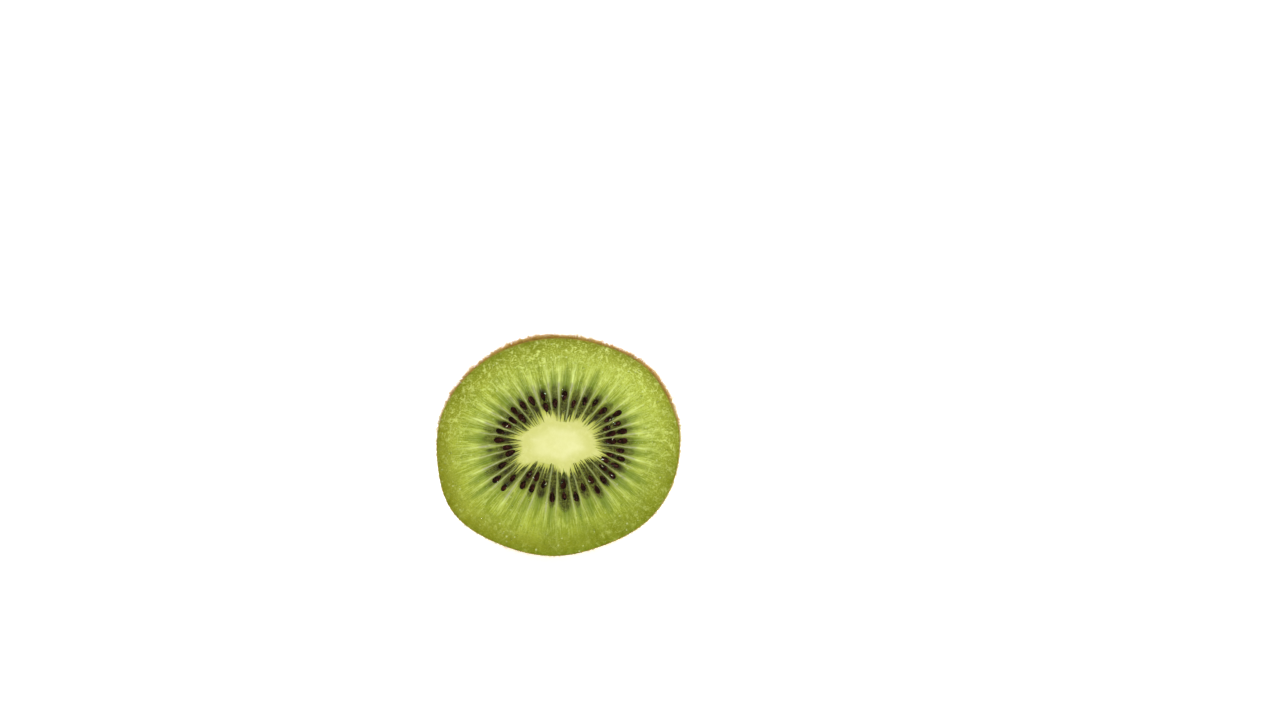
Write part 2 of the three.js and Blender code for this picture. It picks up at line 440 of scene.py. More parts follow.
def strand_group():
    """Pale curled strands: where a bent noise crosses its middle value it leaves thin lines,
    and a second, coarser noise breaks them into short pieces."""
    group, wiring, given, out = new_group(
        "flesh_strands",
        [("Vector", "NodeSocketVector", None), ("Scale", "NodeSocketFloat", 1.0),
         ("Fineness", "NodeSocketFloat", 0.1)],
        [("Mask", "NodeSocketFloat")],
    )
    value = wiring.noise(given["Vector"], given["Scale"], 1.5, 0.5, 0.5)
    off = wiring.math("ABSOLUTE", wiring.math("SUBTRACT", value, 0.5))
    line = wiring.one_minus(wiring.math("DIVIDE", off, given["Fineness"]), clamp=True)
    pieces = wiring.noise(given["Vector"], wiring.times(given["Scale"], 1.1), 1.0, 0.5)
    wiring.fill(out, Mask=wiring.times(line, wiring.step(pieces, 0.46, 0.62)))
    return group


def speck_group():
    """Small round dots of uneven size: near the middle of a cell, in some of the cells."""
    group, wiring, given, out = new_group(
        "specks",
        [("Vector", "NodeSocketVector", None), ("Scale", "NodeSocketFloat", 1.0),
         ("Radius", "NodeSocketFloat", 0.2), ("Share", "NodeSocketFloat", 0.5)],
        [("Mask", "NodeSocketFloat")],
    )
    cell = wiring.cells(given["Vector"], given["Scale"])
    lot = wiring.node("ShaderNodeSeparateColor", {0: cell["Color"]}).outputs
    size = wiring.times(given["Radius"], wiring.math("ADD", lot[1], 0.35))
    dot = wiring.one_minus(wiring.math("DIVIDE", cell["Distance"], size), clamp=True)
    chosen = wiring.math("LESS_THAN", lot[0], given["Share"])
    wiring.fill(out, Mask=wiring.times(dot, chosen))
    return group


STRANDS = strand_group()
SPECKS = speck_group()


def from_group(wiring, group, **values):
    """What comes out of a node group that is given these values."""
    return wiring.node("ShaderNodeGroup", values, node_tree=group).outputs[0]


def new_material(name, **sockets):
    """A material with one Principled shader whose sockets hold the given numbers."""
    material = bpy.data.materials.new(name)
    material.use_nodes = True
    wiring = Wiring(material.node_tree)
    shader = material.node_tree.nodes["Principled BSDF"]
    wiring.fill(shader, **sockets)
    return material, wiring, shader


def bumped(wiring, shader, height, strength, distance):
    """Fine relief from a height between 0 and 1, its distance in millimetres."""
    inputs = {"Height": height, "Strength": strength, "Distance": distance * MM}
    wiring.fill(shader, Normal=wiring.node("ShaderNodeBump", inputs).outputs["Normal"])


def flesh_noises(wiring, place):
    """Noises that the flesh's colours share. Four are even, from clouds to specks, and four run
    with the rays, as fine round the core and outwards as they are told: they read the
    attribute whose x and y turn round the core and whose z is the reach."""
    along = wiring.attribute("ray_place", "Vector")

    def with_rays(round_core, outwards, detail, roughness):
        stretched = wiring.scaled(along, (round_core, round_core, outwards))
        return wiring.noise(stretched, 1.0, detail, roughness)

    return {
        "cloud": wiring.noise(place, 240, 3.0, 0.55),
        "mottle": wiring.noise(place, 850, 3.0, 0.65),
        "grain": wiring.noise(place, 1900, 3.0, 0.7),
        "speckle": wiring.noise(place, 2700, 2.0, 0.6),
        "streak": with_rays(26, 4, 3.0, 0.6),
        "thread": with_rays(31, 2.2, 2.5, 0.62),
        "fibre": with_rays(88, 7, 2.0, 0.6),
        "weave": with_rays(54, 92, 3.0, 0.75),
    }


def lime_flesh(wiring, place, noise):
    """Lime clouds, tinted by the masks, among them painted light to the upper right and painted
    shade to the lower right, under radial streaks, grain, a fine weave, pale curls, dark and pale
    fibres and painted glints, and greener in the shadow behind the pockets."""
    outer = wiring.attribute("outer")
    fibrous = wiring.attribute("fibrous")
    patches = wiring.step(wiring.noise(place, 180, 2.0, 0.5), 0.36, 0.58, 0.6, 1.05)
    patchy = wiring.times(outer, patches)
    weave = wiring.times(wiring.step(noise["weave"], 0.5, 0.64), wiring.times(patchy, 0.75))
    curl = from_group(wiring, STRANDS, Vector=place, Scale=820.0, Fineness=0.09)
    curl = wiring.times(curl, wiring.times(patchy, 0.6))
    # Painted glints: small near-white dots over the lime flesh.
    painted_glints = from_group(wiring, SPECKS, Vector=place, Scale=1300.0, Radius=0.3, Share=0.2)
    streak = wiring.times(wiring.step(noise["streak"], 0.38, 0.72), wiring.attribute("streaky"))
    lime = wiring.blend(noise["cloud"], 0.3, 0.7, (115, 127, 16), (150, 160, 44))
    return wiring.layered(lime, [
        (wiring.times(outer, 0.3), (98, 110, 6)),
        (wiring.attribute("rim"), (100, 99, 0)),
        # Painted light to the upper right, then painted shade to the lower right among deeper green
        # patches.
        (wiring.attribute("painted_light_side"), (180, 192, 82)),
        (wiring.attribute("deep_green_and_painted_shade"), (95, 108, 4)),
        (streak, (161, 175, 72)),
        (wiring.step(noise["grain"], 0.5, 0.28, 0.0, 0.55), (88, 102, 10)),
        (weave, (192, 203, 102)),
        (curl, (208, 218, 126)),
        (wiring.times(wiring.step(noise["fibre"], 0.48, 0.32), fibrous), (94, 108, 14)),
        (wiring.times(wiring.step(noise["fibre"], 0.5, 0.66), fibrous), (195, 206, 114)),
        (wiring.times(painted_glints, 0.45), (226, 236, 170)),
        (wiring.attribute("pocket_shadow"), (88, 108, 28)),
    ])


def pocket_shade(wiring, noise):
    """The pockets' dark olive, with threads, mottling, fibres and a dark and pale speckle."""
    shade = wiring.blend(noise["thread"], 0.36, 0.62, (24, 15, 1), (73, 73, 21))
    return wiring.layered(shade, [
        (wiring.step(noise["mottle"], 0.45, 0.7, 0.0, 0.7), (92, 97, 34)),
        (wiring.step(noise["fibre"], 0.54, 0.68, 0.0, 0.5), (124, 130, 74)),
        (wiring.step(noise["speckle"], 0.48, 0.34, 0.0, 0.75), (22, 16, 2)),
        (wiring.step(noise["speckle"], 0.53, 0.66, 0.0, 0.6), (104, 112, 50)),
    ])


def ray_mask(wiring, place, noise, pocket):
    """A translucent ray, a crisp line in a soft halo. Both fall off with the distance from
    the wall over the ray's width, wobble a little, and are weaker over a pocket."""
    wobble = wiring.step(wiring.noise(place, 300, 2.0, 0.5), 0.3, 0.7, -0.08, 0.08)
    off_wall = wiring.math("ABSOLUTE", wiring.math("ADD", wiring.attribute("off_wall"), wobble))
    off_ray = wiring.math("DIVIDE", off_wall, wiring.attribute("ray_width"))
    broken = wiring.step(noise["streak"], 0.3, 0.6, 0.45, 1.0)
    clear = wiring.one_minus(wiring.times(pocket, 0.35))
    line = wiring.times(wiring.step(off_ray, 1.2, 0.3), broken, clear)
    halo = wiring.times(wiring.step(off_ray, 4.5, 0.0, 0.0, 0.28), wiring.one_minus(pocket))
    return wiring.times(wiring.math("MAXIMUM", line, halo), wiring.attribute("ray_strength"))


def core_cream(wiring, noise, past_edge):
    """The mask and the colour of the core: pale threads run out from it, fewer and greener the
    further they reach past its edge."""
    limit = wiring.math("ADD", wiring.times(past_edge, 0.085), 0.455)
    threads = wiring.step(wiring.math("SUBTRACT", noise["thread"], limit), -0.025, 0.035)
    cream = wiring.blend(noise["cloud"], 0.3, 0.7, (193, 193, 129), (199, 199, 142))
    cream = wiring.layered(cream, [
        (wiring.step(noise["thread"], 0.4, 0.65, 0.0, 0.12), (182, 186, 102)),
        (wiring.step(past_edge, -11.0, -3.0), (181, 182, 108)),
        (wiring.step(noise["mottle"], 0.45, 0.75, 0.0, 0.3), (206, 206, 150)),
        (wiring.step(past_edge, -1.2, 0.6), (168, 172, 80)),
        (wiring.step(past_edge, 0.3, 3.0), (112, 120, 56)),
    ])
    return threads, cream


def flesh_material():
    """Moist green flesh: lime outside, dark in the ragged pockets, pale along rays and in the
    core. Juice lies on it in patches, least over the pockets, the core and the rim."""
    material, wiring, shader = new_material(
        "moist_flesh", Subsurface_Weight=0.15, Subsurface_Radius=(1.0, 1.2, 0.35),
        Subsurface_Scale=0.4 * MM, IOR=1.36, Specular_IOR_Level=0.1, Coat_Roughness=0.07,
    )
    place = wiring.object_place()
    noise = flesh_noises(wiring, place)
    past_edge = wiring.attribute("past_edge")
    pocket = wiring.attribute("pocket")
    ragged = wiring.math("SUBTRACT", noise["thread"], 0.5)
    ragged = wiring.times(ragged, wiring.step(pocket, 0.0, 0.3))
    pocket = wiring.math("ADD", pocket, ragged, clamp=True)

    colour = wiring.mix(pocket, lime_flesh(wiring, place, noise), pocket_shade(wiring, noise))
    colour = wiring.layered(colour, [(wiring.attribute("buried_seed"), (26, 16, 9))])
    ray_colour = wiring.blend(wiring.attribute("outer"), 0.0, 0.2, (148, 150, 120), (190, 202, 121))
    colour = wiring.mix(ray_mask(wiring, place, noise, pocket), colour, ray_colour)
    threads, cream = core_cream(wiring, noise, past_edge)

    dull = wiring.step(noise["cloud"], 0.3, 0.7, 0.38, 0.55)
    wet = wiring.times(
        wiring.step(wiring.noise(place, 420, 2.0, 0.5), 0.42, 0.62, 0.02, 0.45),
        wiring.one_minus(wiring.times(pocket, 0.9)),
        wiring.step(wiring.attribute("rim"), 0.0, 0.8, 1.0, 0.4),
        wiring.step(past_edge, -1.5, 1.0, 0.12, 1.0),
    )
    wiring.fill(
        shader, Base_Color=wiring.mix(threads, colour, cream), Roughness=dull, Coat_Weight=wet
    )
    ripple = wiring.noise(place, 1000, 2.0, 0.55)
    height = wiring.math("ADD", ripple, wiring.times(noise["thread"], 0.4))
    height = wiring.times(height, wiring.step(past_edge, -1.5, 1.0, 0.03, 1.0))
    bumped(wiring, shader, height, 1.0, 0.28)
    return material


def peel_material():
    """Thin dry olive-brown peel with darker pores where the hairs stand, dark at the stem and
    olive where it is cut."""
    material, wiring, shader = new_material("dry_peel", IOR=1.45, Specular_IOR_Level=0.3)
    place = wiring.object_place()
    cloud = wiring.noise(place, 160, 3.0, 0.6)
    grain = wiring.noise(place, 1400, 3.0, 0.65)
    pore = from_group(wiring, SPECKS, Vector=place, Scale=1100.0, Radius=0.34, Share=0.75)
    colour = wiring.blend(cloud, 0.35, 0.65, (146, 127, 54), (178, 152, 82))
    colour = wiring.layered(colour, [
        (wiring.step(grain, 0.35, 0.7, 0.0, 0.75), (92, 68, 22)),
        (wiring.times(pore, 0.8), (104, 62, 24)),
        (wiring.attribute("recess"), (62, 34, 16)),
    ])
    cut_skin = wiring.blend(grain, 0.35, 0.65, (112, 105, 20), (150, 138, 44))
    colour = wiring.mix(wiring.attribute("lip"), colour, cut_skin)
    wiring.fill(shader, Base_Color=colour, Roughness=wiring.step(grain, 0.3, 0.7, 0.62, 0.85))
    bumped(wiring, shader, wiring.math("SUBTRACT", grain, pore), 0.6, 0.15)
    return material


def hair_material(name, root, tip):
    """Translucent bristle: darker at its root than at its tip, each hair in its own tone, some
    of them amber. Round the rim, the amber on the upper side and the pale straw on the lower side
    are painted light."""
    material, wiring, shader = new_material(
        name, Roughness=0.5, Subsurface_Weight=0.3, Subsurface_Scale=0.1 * MM,
    )
    colour = wiring.blend(wiring.attribute("hair_along"), 0.0, 0.8, root, tip)
    wiring.fill(shader, Base_Color=wiring.layered(colour, [
        (wiring.step(wiring.attribute("hair_tone"), 0.3, 1.0, 0.0, 0.65), (190, 146, 46)),
        (wiring.attribute("hair_painted_light_below"), (206, 198, 138)),
    ]))
    return material


def seed_material():
    """Wet dark seed coat, nearly black with a painted maroon sheen, pitted all over."""
    material, wiring, shader = new_material("wet_seed_coat", IOR=1.42, Specular_IOR_Level=0.04)
    place = wiring.object_place()
    tone = wiring.noise(place, 900, 2.0, 0.5)
    painted_sheen = wiring.noise(place, 2400, 2.0, 0.6)
    colour = wiring.blend(tone, 0.35, 0.7, (14, 5, 0), (38, 14, 5))
    # Painted sheen: lighter maroon spots over the dark coat.
    colour = wiring.layered(colour, [(wiring.step(painted_sheen, 0.54, 0.68, 0.0, 0.6), (86, 54, 46))])
    wiring.fill(shader, Base_Color=colour, Roughness=wiring.step(tone, 0.3, 0.7, 0.22, 0.4))
    bumped(wiring, shader, wiring.cells(place, 5500)["Distance"], 0.35, 0.05)
    return material


def juice_material():
    """Clear juice in small beads."""
    return new_material(
        "clear_juice", Base_Color=srgb(246, 250, 226), Roughness=0.03, IOR=1.35,
        Transmission_Weight=1.0,
    )[0]


# ======== The cut flesh ========

FLESH_COLUMNS = LOCULES * 18
CORE_ROWS = 26
INNER_ROWS = 62
OUTER_ROWS = 38
WALL_ROWS = 14
WALL_INSET = 0.7
CUT_RIPPLE = 0.025

# Where a pocket and its shadow end, as reaches, and how those ends differ round the core.
POCKET_NARROWS = 0.18
POCKET_END, POCKET_END_SPREAD = 0.37, 0.13
POCKET_ENDS = SEED_RING_SWELLS + ((241, -0.05, 9),)
POCKET_LEAN = 0.12
SHADOW_LENGTH, SHADOW_LENGTH_SPREAD = 0.08, 0.16
SHADOW_ENDS = ((332, 0.12, 14), (205, 0.08, 10), (88, 0.05, 16), (122, -0.06, 9), (242, -0.05, 9))
SHADOW_DEPTH = 0.78

# How the colours change round the cut, as humps, and for the darker patches also the
# reaches between which they set in. The darker side to the lower right is painted shade, and the
# pale patches to the upper right and the left are painted light.
LOWER_SIDE = ((285, 1.0, 45),)
DARKER_POCKETS = ((285, 0.42, 45), (72, 0.2, 24))
STRONGER_RAYS = ((160, 0.35, 40), (5, 0.245, 25))
# Painted shade: the lower right of the cut is darker.
PAINTED_SHADE_SIDE = (312, 0.54, 40, 0.45, 0.7)
DEEP_GREEN_AND_SHADE_PATCHES = (
    PAINTED_SHADE_SIDE, (95, 0.24, 25, 0.6, 0.8), (132, 0.4, 20, 0.84, 0.95), (268, 0.5, 28, 0.9, 1.0),
)
# Painted light: the upper right of the cut, and a little its left, are paler.
PAINTED_LIGHT_PATCHES = ((45, 0.45, 45), (205, 0.13, 28))
LIVELIEST_SIDE = 78

BURIED_SHARE = 0.75
BURIED_SPREAD = 0.22
BURIED_LENGTH, BURIED_WIDTH = 0.06, 0.3


def flesh_rows():
    """Reach of each row: -1 to 0 through the core, dense over the pockets, wider outside."""
    core = np.linspace(-1, 0, CORE_ROWS, endpoint=False)
    inner = np.linspace(0, 0.5, INNER_ROWS, endpoint=False)
    outer = np.linspace(0.5, 1, OUTER_ROWS)
    return np.concatenate([core, inner, outer])


def band(reach, rises, falls):
    """1 between two reaches, with smooth ends: it rises and falls over the given pairs."""
    return smooth(reach, *rises) * (1 - smooth(reach, *falls))


def humps_set_in(angle, reach, patches):
    """The sum of humps that each set in smoothly between two reaches."""
    return sum(
        height * hump(angle, at, spread) * smooth(reach, start, full)
        for at, height, spread, start, full in patches
    )


def blunt(reach, end):
    """The share of its full width that a pocket has at a reach: sqrt(1 - t^3), where t goes
    from 0 at POCKET_NARROWS to 1 at the pocket's end."""
    t = np.clip((reach - POCKET_NARROWS) / (end - POCKET_NARROWS), 0, 1)
    return np.sqrt(1 - t**3)


def pocket_masks(pocket, angle, reach, past_edge):
    """A pocket fills the place between its walls and ends blunt, at a reach of its own, a little
    past its seeds. A greener shadow goes on behind it and runs out in a thin tail."""
    index = np.floor(pocket)
    middle = 0.5 + POCKET_LEAN * (draw(index, 22) - 0.5)
    off_middle = np.abs(pocket - index - middle) * 2
    middle_angle = column_angle(index + 0.5)

    end = POCKET_END + POCKET_END_SPREAD * draw(index, 21) + humps(middle_angle, POCKET_ENDS)
    fill = blunt(reach, end)
    widest = fill * (1.05 + 0.1 * humps(angle, LOWER_SIDE)) + 0.15
    dark = smooth(off_middle, widest, fill * 0.8 - 0.2)
    dark *= 0.98 - (0.5 - humps(angle, DARKER_POCKETS)) * smooth(reach, 0.2, end)
    dark *= (1 - smooth(reach, end - 0.06, end + 0.05)) * smooth(past_edge, -1.3, -0.5)

    end += SHADOW_LENGTH + SHADOW_LENGTH_SPREAD * draw(index, 23)
    end += humps(middle_angle, SHADOW_ENDS)
    fill = blunt(reach, end)
    shadow = smooth(off_middle, fill + 0.2, fill * 0.5 - 0.25)
    shadow *= SHADOW_DEPTH * (1 - smooth(reach, end - 0.27, end + 0.2))
    tail = smooth(off_middle, 0.95, 0.0) * (0.2 + 0.32 * draw(index, 24))
    tail *= 1 - smooth(reach, 0.5, 0.82)
    return {"pocket": dark, "pocket_shadow": np.maximum(shadow, tail)}


def ray_masks(pocket, angle, reach, past_edge):
    """A ray stands on each wall, widens outwards and thins out beyond the pockets, each at a
    reach of its own. It is weaker below and on the side of painted shade. Its distance from the
    wall and its width are in millimetres."""
    index = np.floor(pocket)
    part = pocket - index
    nearer_next = part > 0.5
    wall = np.where(nearer_next, index + 1, index) % LOCULES
    place = face_point(angle, reach)
    pitch = FULL_TURN / LOCULES * np.hypot(place[..., 0], place[..., 1] - CORE_CENTRE[1])

    fade = 1 - smooth(reach, 0.36 + 0.2 * draw(wall, 32), 0.72 + 0.2 * draw(wall, 33))
    strength = (0.5 + 0.45 * draw(wall, 34)) * fade * smooth(past_edge, -0.3, 0.3)
    weaker = (0.25 + 0.3 * smooth(reach, 0.4, 0.6)) * humps(angle, LOWER_SIDE)
    strength *= 0.75 + 0.25 * smooth(reach, 0.2, 0.5) - weaker
    strength *= 1 + humps(angle, STRONGER_RAYS) * band(reach, (0.35, 0.5), (0.58, 0.7))
    # Rays are weaker on the lower right, the side of painted shade.
    strength *= 1 - 0.9 * humps_set_in(angle, reach, [PAINTED_SHADE_SIDE])
    return {
        "off_wall": np.where(nearer_next, part - 1, part) * pitch,
        "ray_width": 0.13 + 0.08 * draw(wall, 31) + 0.12 * smooth(reach, 0.25, 0.7),
        "ray_strength": strength,
    }


def lime_masks(angle, reach):
    """Where the flesh outside the pockets is lively, streaky, fibrous or deep green, and where
    light and shade are painted on it. It is liveliest at the top, paler to the upper right, where
    light is painted, and darker to the lower right, where shade is painted, and darker too in a ring
    behind the pockets and along the rim."""
    outer = smooth(reach, 0.42, 0.68) * (0.62 + 0.38 * np.cos(angle - np.radians(LIVELIEST_SIDE)))
    place = face_point(angle, reach)
    off_centre = np.hypot(place[..., 0] / FACE_WIDTH, place[..., 1] / FACE_HEIGHT) * 2
    ring = 0.32 * band(off_centre, (0.53, 0.58), (0.64, 0.71))
    rim = smooth(reach, 0.66, 0.93) * 0.7 + 0.25 * smooth(reach, 0.94, 1.0)
    fibrous = 0.6 * band(reach, (0.1, 0.3), (0.6, 0.9))
    return {
        "outer": outer * (1 - 0.35 * smooth(reach, 0.88, 1.0)),
        "rim": rim * (1 - 0.4 * hump(angle, 22, 24)),
        "streaky": 0.6 - 0.45 * smooth(reach, 0.5, 0.85),
        "fibrous": fibrous * (1 - 0.45 * hump(angle, 290, 55)),
        # Painted light to the upper right; next, deeper green with painted shade to the lower right.
        "painted_light_side": humps(angle, PAINTED_LIGHT_PATCHES) * band(reach, (0.35, 0.6), (0.8, 1.0)),
        "deep_green_and_painted_shade": humps_set_in(angle, reach, DEEP_GREEN_AND_SHADE_PATCHES) + ring,
    }


def buried_seeds(pocket, reach):
    """Soft dark spots where seeds lie just under the cut, in most pockets: exp(-1.4 d^2), where
    d is the distance from the spot's middle over its size."""
    index = np.floor(pocket)
    at = SEED_RING + BURIED_SPREAD * (draw(index, 41) - 0.5)
    along = (reach - at) / BURIED_LENGTH
    across = (pocket - index - 0.5) / BURIED_WIDTH
    return np.exp(-(along**2 + across**2) * 1.4) * (draw(index, 42) < BURIED_SHARE) * 0.85


def flesh_masks(pocket, angle, reach):
    """What shows where on the face: distances in millimetres and masks from 0 to 1. Inside the
    core the way past its edge counts for more than its real length."""
    past_edge = np.maximum(reach, -0.9) * ray_length(angle) - humps(angle, CORE_LOBES)
    return {
        "past_edge": past_edge,
        "buried_seed": buried_seeds(pocket, reach),
        **pocket_masks(pocket, angle, reach, past_edge),
        **ray_masks(pocket, angle, reach, past_edge),
        **lime_masks(angle, reach),
    }


def face_relief(pocket, angle, reach):
    """Height over the flat of the cut: the core stands a little proud and the pockets dip
    between their walls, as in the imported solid."""
    edge = humps(angle, CORE_LOBES) / ray_length(angle)
    along = np.clip((reach - edge) / (LOCULE_REACH - edge), 0, 1)
    dip = np.sin(np.pi * along ** 0.6) * np.sin(np.pi * (pocket - np.floor(pocket))) ** 0.7
    swell = CORE_SWELL * np.clip(edge - reach, 0, 1)
    return swell - LOCULE_DEPTH * dip


def down_the_wall(values):
    """Carries the values at the skin on over the rows of the wall behind the peel."""
    return np.concatenate([values, np.repeat(values[-1:], WALL_ROWS, 0)])


def cut_flesh():
    """The face from the middle of the core out to the peel, then the wall behind the peel
    down to the tip, as one closed surface."""
    pocket = np.arange(FLESH_COLUMNS) * LOCULES / FLESH_COLUMNS
    reach, pocket = np.meshgrid(flesh_rows(), pocket, indexing="ij")
    angle = column_angle(pocket)
    margin = (PEEL_THICKNESS - PEEL_OVERLAP) / ray_length(angle)
    drawn_in = np.where(reach > 0, reach * (1 - margin), reach)
    face = face_point(angle, drawn_in)
    face[..., 2] = face_relief(pocket, angle, reach)
    face[..., 2] += CUT_RIPPLE * rough(face, 0.9, 5) * smooth(reach, -0.4, 0.1)

    turn = np.linspace(np.pi / 2, 0, WALL_ROWS + 1)[1:]
    wall_turn, wall_pocket = np.meshgrid(turn, pocket[0], indexing="ij")
    gap = PEEL_THICKNESS - PEEL_OVERLAP + WALL_INSET * smooth(wall_turn, np.pi / 2, np.radians(78))
    wall = dome_point(column_angle(wall_pocket), wall_turn)
    wall *= (1 - 2 * gap / FACE_HEIGHT)[..., None]
    grid = np.concatenate([face, wall])

    masks = flesh_masks(pocket, angle, reach)
    masks = {name: down_the_wall(values) for name, values in masks.items()}
    around = pocket * FULL_TURN / LOCULES
    place = down_the_wall(np.stack([np.cos(around), np.sin(around), reach], -1))
    return round_piece(
        "cut_flesh", grid, flesh_material(), {**masks, "ray_place": place}, PEEL_THICKNESS
    )


# ======== The peel ========

PEEL_COLUMNS = 480
DOME_ROWS = 180
INSIDE_ROWS = 24
LIP_ROWS = 5
RECESS_RADIUS = 4.6
RECESS_DARKNESS = 0.9
OLIVE_BAND = 1.0
LIP_BULGE, LIP_ROUGHNESS = 0.05, 0.03
PEEL_GRAIN, PEEL_SWELLING, DEEPEST_DIP = 0.04, 0.05, 0.12


def peel():
    """A thin closed shell: up the inside from the tip, over a rounded lip at the cut, and
    down the outside, which is slightly rough. The lip's olive fades by exp(z / OLIVE_BAND)."""
    pocket = np.arange(PEEL_COLUMNS) * LOCULES / PEEL_COLUMNS
    angle = column_angle(pocket)
    inside_turn, inside_angle = np.meshgrid(
        np.linspace(0, 1, INSIDE_ROWS + 1)[:-1] ** 2 * np.pi / 2, angle, indexing="ij"
    )
    inside = dome_point(inside_angle, inside_turn) * (1 - 2 * PEEL_THICKNESS / FACE_HEIGHT)

    rim = skin_point(angle, 1.0, 0.0)
    outward = rim / np.linalg.norm(rim, axis=-1, keepdims=True)
    bend = np.linspace(np.pi, 0, LIP_ROWS)[:, None, None]
    middle = rim - outward * PEEL_THICKNESS / 2
    forward = np.array([0.0, 0.0, 1.0])
    lip = middle + outward * np.cos(bend) * PEEL_THICKNESS / 2 + forward * np.sin(bend) * LIP_BULGE
    lip[..., 2] += LIP_ROUGHNESS * rough(lip, 1.5, 9)

    turn, wide_angle = np.meshgrid(
        np.linspace(np.pi / 2, 0, DOME_ROWS + 1)[1:], angle, indexing="ij"
    )
    outside = dome_point(wide_angle, turn)
    unevenness = PEEL_GRAIN * rough(outside, 1.1, 3) + PEEL_SWELLING * rough(outside, 3.2, 4)
    unevenness = np.maximum(unevenness, -DEEPEST_DIP) * smooth(outside[..., 2], 0, -3)
    size = np.linalg.norm(outside, axis=-1, keepdims=True)
    outside += outside / size * (unevenness * np.sin(turn))[..., None]
    grid = np.concatenate([inside, lip, outside])
    lip_mask = np.exp(grid[..., 2] / OLIVE_BAND)
    lip_mask[: INSIDE_ROWS + LIP_ROWS] = 1
    out = np.hypot(grid[..., 0], grid[..., 1]) / RECESS_RADIUS
    recess = RECESS_DARKNESS * np.exp(-(out**4))
    return round_piece("peel", grid, peel_material(), {"lip": lip_mask, "recess": recess})


# ======== The seeds ========

SEED_COLUMNS = 20
SEED_ROWS = 15
SEED_ASTRAY, SEED_NOD = 16, 24


def seed_places():
    """Each pocket shows one seed or two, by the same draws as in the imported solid."""
    pocket = np.arange(LOCULES)
    pair = draw(pocket, 2) < SEED_PAIR_SHARE
    ring = SEED_RING + humps(column_angle(pocket + 0.5), SEED_RING_SWELLS)
    first = ring + SEED_RING_SPREAD * (draw(pocket, 3) - 0.5)
    half_step = np.where(pair, SEED_PAIR_STEP / 2, 0)
    pockets = np.concatenate([pocket, pocket[pair]])
    order = np.concatenate([np.zeros(LOCULES, int), np.ones(pair.sum(), int)])
    reach = np.concatenate([first - half_step, (first + half_step)[pair]])
    angle = column_angle(pockets + 0.5)
    along = face_point(angle, reach + 0.05) - face_point(angle, reach - 0.05)
    item = pockets + LOCULES * order
    astray = np.radians(SEED_ASTRAY) * (draw(item, 4) - 0.5)
    return {
        "at": face_point(angle, reach),
        "direction": np.arctan2(along[:, 1], along[:, 0]) + astray,
        "nod": np.radians(SEED_NOD) * (draw(item, 5) - 0.5),
        "size": SEED_SMALLEST + (SEED_LARGEST - SEED_SMALLEST) * draw(item, 6),
    }


def seeds():
    """Teardrops: an ellipsoid whose width shrinks evenly towards the end at the core, nodded
    and turned along its ray, its middle a little under the cut."""
    place = seed_places()
    x, y, z = unit_ball(SEED_ROWS, SEED_COLUMNS)
    slim = 1 - SEED_TAPER + SEED_TAPER * x
    one = [x * SEED_LENGTH / 2, y * slim * SEED_WIDTH / 2, z * slim * SEED_THICKNESS / 2]
    x, y, z = (values * place["size"][:, None] for values in one)
    x, z = turned(x, z, place["nod"][:, None])
    x, y = turned(x, y, place["direction"][:, None])
    points = np.stack([x, y, z - SEED_SINK], -1) + place["at"][:, None]
    return put_balls("seeds", points, SEED_ROWS, SEED_COLUMNS, seed_material())


# ======== The hairs ========

COMBED_PATCH = 9.0
COMBING = 2.4
STRAYING = 0.6
TUFT_SIZE = 1.5
TUFTING = 0.3
STRAY_LENGTH = 0.6
RUBBED_OFF = 0.55
CURLING = 0.28
LEAST_RIM_BELOW = 0.25


def dome_frame(angle, turn):
    """A point of the skin with its outward normal and the direction towards the cut, by
    small steps along both ways of the surface. There is no skin past the cut, so a point that
    is nearer to it than the step gets no direction, and its hair isn't drawn."""
    small = 1e-3
    point = dome_point(angle, turn)
    ahead = dome_point(angle, turn + small) - point
    aside = dome_point(angle + small, turn) - point
    normal = np.cross(aside, ahead)
    normal /= np.linalg.norm(normal, axis=-1, keepdims=True)
    ahead /= np.linalg.norm(ahead, axis=-1, keepdims=True)
    return point, normal, ahead


def scattered(count, low_turn, high_turn, seed, least_below=1.0):
    """Even places on the skin: many tries, each kept as often as its patch is large. Below,
    fewer may be kept, down to the share least_below."""
    rng = np.random.default_rng(seed)
    tries = count * 4
    angle = rng.uniform(0, FULL_TURN, tries)
    turn = rng.uniform(low_turn, high_turn, tries)
    share = np.sin(turn) ** (2 / DOME_POWER)
    share *= least_below + (1 - least_below) * smooth(np.sin(angle), 0.0, 0.6)
    keep = rng.uniform(0, 1, tries) < share / share.max()
    return angle[keep][:count], turn[keep][:count], rng


